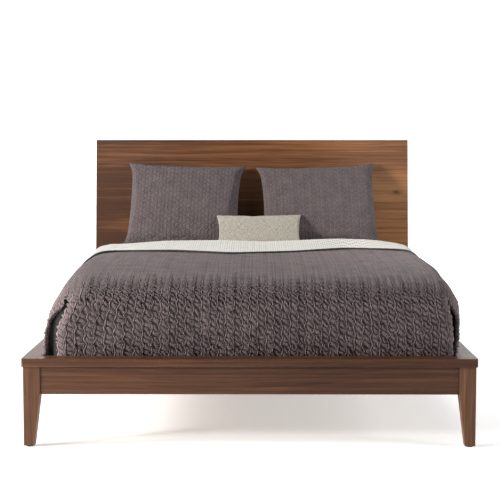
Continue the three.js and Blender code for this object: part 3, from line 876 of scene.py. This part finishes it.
def build_mattress():
    low, high = MATTRESS
    half, y0, y1, bottom = high[0], low[1], high[1], low[2]
    # inset at the sides, at the head and at the crowned foot, and height above the bottom
    profile = [
        (0.060, 0.060, 0.060, 0.0), (0.020, 0.020, 0.020, 0.002), (0.008, 0.008, 0.008, 0.008),
        (0.003, 0.003, 0.003, 0.02), (0.0, 0.0, 0.0, 0.05), (0.0, 0.0, 0.0, 0.10),
        (0.0, 0.0, 0.0, 0.15), (0.004, 0.002, 0.002, 0.190), (0.020, 0.004, 0.004, 0.225),
        (0.034, 0.007, 0.012, 0.253), (0.062, 0.012, 0.046, 0.276), (0.090, 0.017, 0.085, 0.290),
        (0.130, 0.026, 0.150, 0.301), (0.190, 0.046, 0.280, 0.309), (0.280, 0.090, 0.410, 0.314),
        (0.400, 0.200, 0.510, 0.316), (0.560, 0.360, 0.600, 0.3165), (0.700, 0.600, 0.600, 0.3165),
    ]
    border_bands = 10        # the bands below the upper piping
    verts, faces = [], []
    for side, end, foot, up in profile:
        verts.extend(rounded_ring(half, y0, y1, side, end, foot, bottom + up))
    n = len(verts) // len(profile)
    bands = len(profile) - 1
    for k in range(bands):
        for i in range(n):
            j = (i + 1) % n
            faces.append((k * n + i, k * n + j, (k + 1) * n + j, (k + 1) * n + i))
    faces.append(tuple(reversed(range(n))))
    faces.append(tuple(bands * n + i for i in range(n)))
    slots = [1] * border_bands * n + [0] * (bands - border_bands) * n + [1, 0]
    obj = new_object("mattress_body", verts, faces, "mattress", [SHEET, BORDER])
    obj.data.polygons.foreach_set("material_index", np.array(slots, dtype=np.int32))
    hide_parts("mattress")
    for tag, side, end, foot, up in (
        ("lower", 0.006, 0.006, 0.006, 0.012), ("upper", 0.072, 0.0135, 0.0605, 0.2815),
    ):
        ring = rounded_ring(half, y0, y1, side, end, foot, bottom + up, 24, 8)
        cord = f"mattress_piping_{tag}"
        piping = tube(cord, ring, 0.0040, "mattress", [BORDER], sides=6, closed=True)


build_mattress()


# -------------------------------------------------- stuffed cases, by cloth
def flat_case(name, width, height, nx, nz):
    """Two cloth layers sewn round the rim, a little apart, in local X and Z."""
    xs, zs = np.linspace(-width / 2, width / 2, nx), np.linspace(-height / 2, height / 2, nz)
    verts, faces, flat = [], [], []
    ids = {}
    gap, belly = 0.004, 0.05 * height        # half the space between the layers, rim and middle

    def key(i, j, side):
        """Both layers share the points of the rim."""
        return i, j, 0 if i in (0, nx - 1) or j in (0, nz - 1) else side

    for side in (-1, 1):
        for j, z in enumerate(zs):
            for i, x in enumerate(xs):
                place = key(i, j, side)
                if place in ids:
                    continue
                ids[place] = len(verts)
                u, v = 1 - (2 * x / width) ** 2, 1 - (2 * z / height) ** 2
                verts.append((x, place[2] * (gap + belly * abs(u * v) ** 0.6), z))
                flat.append((x, z))
        for j in range(nz - 1):
            for i in range(nx - 1):
                around = ((i, j), (i + 1, j), (i + 1, j + 1), (i, j + 1))
                quad = [ids[key(ci, cj, side)] for ci, cj in around]
                faces.append(tuple(quad if side < 0 else reversed(quad)))
    mesh = bpy.data.meshes.new(name)
    mesh.from_pydata(verts, [], faces)
    lay_flat(mesh, flat)
    obj = bpy.data.objects.new(name, mesh)
    scene.collection.objects.link(obj)
    return obj, np.array(flat)


def co_of(obj, what="co"):
    values = np.empty(len(obj.data.vertices) * 3)
    obj.data.vertices.foreach_get(what, values)
    return values.reshape(-1, 3)


def move_to(obj, co):
    obj.data.vertices.foreach_set("co", co.ravel())
    obj.data.update()


def apply_modifiers(obj):
    graph = bpy.context.evaluated_depsgraph_get()
    made = bpy.data.meshes.new_from_object(
        obj.evaluated_get(graph), preserve_all_data_layers=True, depsgraph=graph,
    )
    old = obj.data
    obj.modifiers.clear()
    obj.data = made
    bpy.data.meshes.remove(old)


def inflate(obj, pressure, frames, bend, cap):
    """Blow the stuffed case up as cloth, moving no point further than the cap."""
    before = co_of(obj)
    cloth_mod = obj.modifiers.new("fill", "CLOTH")
    s = cloth_mod.settings
    s.quality = 6
    s.mass = 0.25
    s.air_damping = 2.0
    s.tension_stiffness = s.compression_stiffness = 25
    s.shear_stiffness = 12
    s.bending_stiffness = bend
    s.tension_damping = s.compression_damping = s.shear_damping = 8
    s.bending_damping = 2
    s.use_pressure = True
    s.uniform_pressure_force = pressure
    s.effector_weights.gravity = 0
    cloth_mod.collision_settings.use_collision = False
    cloth_mod.point_cache.frame_start = 1
    cloth_mod.point_cache.frame_end = frames
    for f in range(1, frames + 1):
        scene.frame_set(f)
    apply_modifiers(obj)
    scene.frame_set(1)
    moved = co_of(obj) - before
    far = np.linalg.norm(moved, axis=1, keepdims=True)
    move_to(obj, before + moved * np.minimum(1, cap / np.maximum(far, 1e-9)))


def stuffed_shape(obj, thick, flat, waist):
    """A slightly thin pillow by formula: the shape that the simulation starts from."""
    co = co_of(obj)
    u = np.abs(2 * flat[:, 0] / np.ptp(flat[:, 0]))
    v = np.abs(2 * flat[:, 1] / np.ptp(flat[:, 1]))
    fill = ((1 - u ** 2.6) * (1 - v ** 2.4)).clip(0) ** 0.55
    co[:, 1] = np.sign(co[:, 1]) * fill * thick / 2
    co[:, 0] *= 1 - np.where(flat[:, 0] < 0, waist[0], waist[1]) * u * (1 - v ** 2.4)
    co[:, 2] *= 1 - waist[2] * v * (1 - u ** 2.4)
    obj.data.vertices.foreach_set("co", co.ravel())


def fit_case(obj, size):
    """Scale the case to its finished width, thickness and height."""
    co = co_of(obj)
    lo, hi = co.min(0), co.max(0)
    want = np.array([size[0], size[2], size[1]])
    move_to(obj, (co - (lo + hi) / 2) * (want / (hi - lo)))


BED_TOP = 0.5805                       # just clear of the mattress
RAKE_SLOPE = math.tan(math.radians(6.3))   # how the headboard leans back
HEAD_FACE = FOOT + 2.115 - 0.0015      # just clear of the headboard, at the ledge's top
START_THICK = 0.88                     # how thick a case is before it is filled, as a share
CASE_DEPTH = 0.0032                    # how deep a case's quilting is worked
CASE_SINK = 0.001                      # and how far its creases sink in


def rest_on(value, limit, soft=0.006):
    """Flattens a pad against whatever it lies on, with a softly rounded rim."""
    over = value - limit
    return limit + np.where(over > soft, over, soft * np.exp(np.minimum(over / soft - 1, 0)))


def pillow(name, body, size, cut, cells, bend, place, lean, spin, look, waist, quilted=False):
    """A stuffed case that leans back `lean` degrees at `place`, in mm from the foot's middle.
    Size is its width, height and thickness, `cut` its cloth's width and height, `waist` how
    far its left, right and level edges draw in."""
    obj, flat = flat_case(name, *cut, *cells)
    stuffed_shape(obj, size[2] * START_THICK, flat, waist)
    inflate(obj, pressure=3.0, frames=18, bend=bend, cap=0.022)
    fit_case(obj, size)
    sub = obj.modifiers.new("finer", "SUBSURF")
    sub.levels = sub.render_levels = 1
    sub.uv_smooth = "PRESERVE_BOUNDARIES"
    apply_modifiers(obj)
    mesh = obj.data
    if quilted:
        flat = np.zeros((len(mesh.vertices), 2))
        flat_uv = np.empty(len(mesh.loops) * 2)
        mesh.uv_layers["flat"].data.foreach_get("uv", flat_uv)
        flat[corners_of(mesh)] = flat_uv.reshape(-1, 2)
        move_to(obj, settle(co_of(obj), size))
        across, along = CASE_FINER * flat.T
        height = relief(np, across, along, ridges=0.45, blunt=1.5, chevron=1.0)[0]
        rim = np.minimum(cut[0] / 2 - np.abs(flat[:, 0]), cut[1] / 2 - np.abs(flat[:, 1]))
        raised = height * smooth(0.0, 0.016, rim) * CASE_DEPTH - CASE_SINK
        co = co_of(obj) + co_of(obj, "normal") * raised[:, None]
        mesh.vertices.foreach_set("co", co.ravel())
    mesh.transform(
        Matrix.Translation((place[0] / 1000, FOOT + place[1] / 1000, place[2] / 1000))
        @ Matrix.Rotation(math.radians(-lean), 4, "X")
        @ Matrix.Rotation(math.radians(spin), 4, "Y")
    )
    co = co_of(obj)
    co[:, 2] = rest_on(co[:, 2], BED_TOP)
    co[:, 1] = -rest_on(-co[:, 1], -(HEAD_FACE + (co[:, 2] - LEDGE_TOP) * RAKE_SLOPE))
    move_to(obj, co)
    mesh.shade_smooth()
    mesh.materials.clear()
    mesh.materials.append(look)
    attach(obj, body)
    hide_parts(body)


def settle(co, size):
    """Weight in the lower half, and slack folds where the case stands on its edge."""
    z = co[:, 2] / size[1] + 0.5
    x = co[:, 0] / size[0]
    side = np.sign(co[:, 1])
    body = np.clip(np.abs(co[:, 1]) / (size[2] / 2), 0, 1)
    wrinkle = 0.006 * np.sin(26 * z + 3 * np.sin(5 * x)) * np.exp(-((z - 0.28) / 0.2) ** 2)
    belly = 0.010 * np.exp(-((z - 0.30) / 0.22) ** 2)
    co[:, 1] += side * body * (belly + wrinkle * np.cos(3 * x) ** 2)
    return co


for side, place, spin, waist in (
    ("left", (-350, 2031, 796), 1.6, (0.045, 0.075, 0.022)),
    ("right", (340, 2031, 794), -1.8, (0.075, 0.004, 0.022)),
):
    pillow(
        f"sham_{side}_case", f"sham_{side}", (0.640, 0.510, 0.140), (0.66, 0.52), (81, 65), 1.0,
        place, 31.5, spin, SHAM, waist, quilted=True,
    )
pillow(
    "lumbar_case", "lumbar_pillow", (0.440, 0.232, 0.080), (0.45, 0.235), (61, 37), 0.6,
    (38, 1834, 668), 41.0, -0.6, LINEN, (0.020, 0.020, 0.012),
)


# ------------------------------------------------- floor, light and camera
def backdrop():
    """Pale floor that sweeps up into a wall behind the bed."""
    s = Shader("backdrop_paper", 0.9)
    s.colour(s.ramp(s.noise(s.here(), 1.3, 2.0, 0.5), [(0.3, 0.92), (0.7, 0.94)]))
    s.bsdf.inputs["Emission Color"].default_value = (1, 1, 1, 1)
    seen = s.made("ShaderNodeLightPath", output="Is Camera Ray")
    s.put(seen * 0.38 + 0.07, s.bsdf.inputs["Emission Strength"])
    start, near, wide, tall = 7.0, -12.0, 12.0, 9.0
    r, steps = 2.0, 12
    pts = [(near, 0.0), (start, 0.0)]
    for k in range(1, steps + 1):
        t = math.pi / 2 * k / steps
        pts.append((start + r * math.sin(t), r - r * math.cos(t)))
    pts.append((start + r, tall))
    verts = [(x, y, z) for y, z in pts for x in (-wide, wide)]
    faces = [(2 * k, 2 * k + 1, 2 * k + 3, 2 * k + 2) for k in range(len(pts) - 1)]
    mesh = bpy.data.meshes.new("backdrop")
    mesh.from_pydata(verts, [], faces)
    mesh.shade_smooth()
    mesh.materials.append(s.material)
    obj = bpy.data.objects.new("backdrop", mesh)
    scene.collection.objects.link(obj)


backdrop()

world = bpy.data.worlds.new("studio")
world.use_nodes = True
background = world.node_tree.nodes["Background"]
background.inputs["Color"].default_value = (1.0, 1.0, 1.0, 1)
seen = node(world.node_tree, "ShaderNodeLightPath").outputs["Is Camera Ray"]
glow = node(world.node_tree, "ShaderNodeMath", operation="MULTIPLY_ADD")
glow.inputs[1].default_value, glow.inputs[2].default_value = 0.92, 0.10
world.node_tree.links.new(seen, glow.inputs[0])
world.node_tree.links.new(glow.outputs[0], background.inputs["Strength"])
scene.world = world
scene.view_settings.view_transform = "Standard"


def area_light(name, at, toward, size, power, colour=(1, 1, 1)):
    data = bpy.data.lights.new(name, "AREA")
    data.shape = "RECTANGLE"
    data.size, data.size_y = size
    data.energy = power
    data.color = colour
    obj = bpy.data.objects.new(name, data)
    scene.collection.objects.link(obj)
    obj.location = at
    obj.rotation_euler = (Vector(toward) - Vector(at)).to_track_quat("-Z", "Y").to_euler()
    obj.visible_camera = False


area_light("key", (-6.8, -3.6, 2.2), (0.0, 0.0, 0.5), (1.0, 1.0), 515, (1.0, 0.985, 0.96))
area_light("rim", (-5.0, -1.7, 1.9), (0.0, -0.6, 0.5), (0.8, 0.8), 240, (1.0, 0.99, 0.97))
area_light("fill", (4.8, -2.0, 1.7), (0.4, 0.6, 0.6), (1.8, 1.8), 130, (0.98, 0.985, 1.0))
# pairs of lights: out, along and up of the light, then of where it points; size and power
PAIRS = (
    ("top", (0.9, 0.95, 1.9), (0.5, 0.55, 0.6), (0.8, 0.4), 4, 0.0),
    ("low", (0.75, 0.15, 1.35), (0.70, 0.15, 0.6), (0.5, 0.3), 3.4, 0.9),
    ("wall", (2.6, 2.4, 3.4), (1.6, 5.5, 1.4), (2.0, 1.4), 90, 0.0),
    ("far", (2.6, 5.9, 3.4), (1.6, 9.0, 1.4), (2.0, 1.4), 100, 0.0),
)
for side in (-1, 1):
    for name, (x, y, z), (to_x, to_y, to_z), size, power, stronger in PAIRS:
        at, toward = (x * side, y, z), (to_x * side, to_y, to_z)
        area_light(f"{name}_{side + 1}", at, toward, size, power + stronger * side)

camera_data = bpy.data.cameras.new("camera")
camera_data.sensor_width = 36.0
camera_data.lens = 89.10
camera = bpy.data.objects.new("camera", camera_data)
scene.collection.objects.link(camera)
camera.location = (0.02865, -5.59699, 1.09935)
camera.rotation_euler = (math.radians(90 - 4.7155), 0.0, math.radians(0.338))
scene.camera = camera
